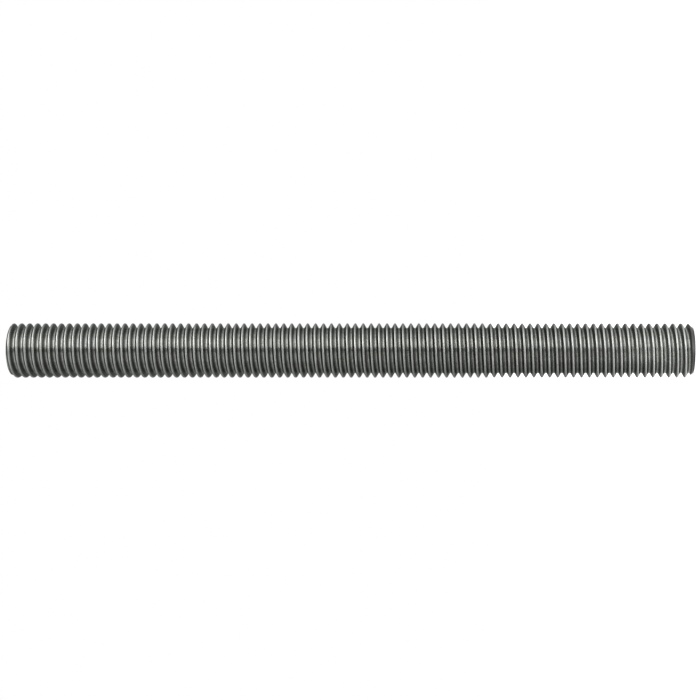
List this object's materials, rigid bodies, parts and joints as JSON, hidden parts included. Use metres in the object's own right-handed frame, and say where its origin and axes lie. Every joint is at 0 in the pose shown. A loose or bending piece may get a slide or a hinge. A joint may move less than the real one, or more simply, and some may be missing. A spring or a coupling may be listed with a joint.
{
  "type": "anchor rod",
  "caption": "Straight round steel rod with a right-hand metric thread over its whole length and a chamfer on both ends, for anchoring a bolted fixing in masonry or concrete.",
  "frame": {"origin": "centre of the lower end face, on the surface that the rod stands on", "axes": "+Z along the rod's axis, from the end that goes into the hole to the end that takes the nut; X and Y are square to it, with the bottom of the groove passing +X at each whole turn"},
  "size_m": [0.012, 0.012, 0.15],
  "materials": {
    "steel": "rolled thread, bright zinc plating, slightly dull"
  },
  "bodies": {
    "root": {"anchor_rod": "steel"}
  },
  "joints": []
}
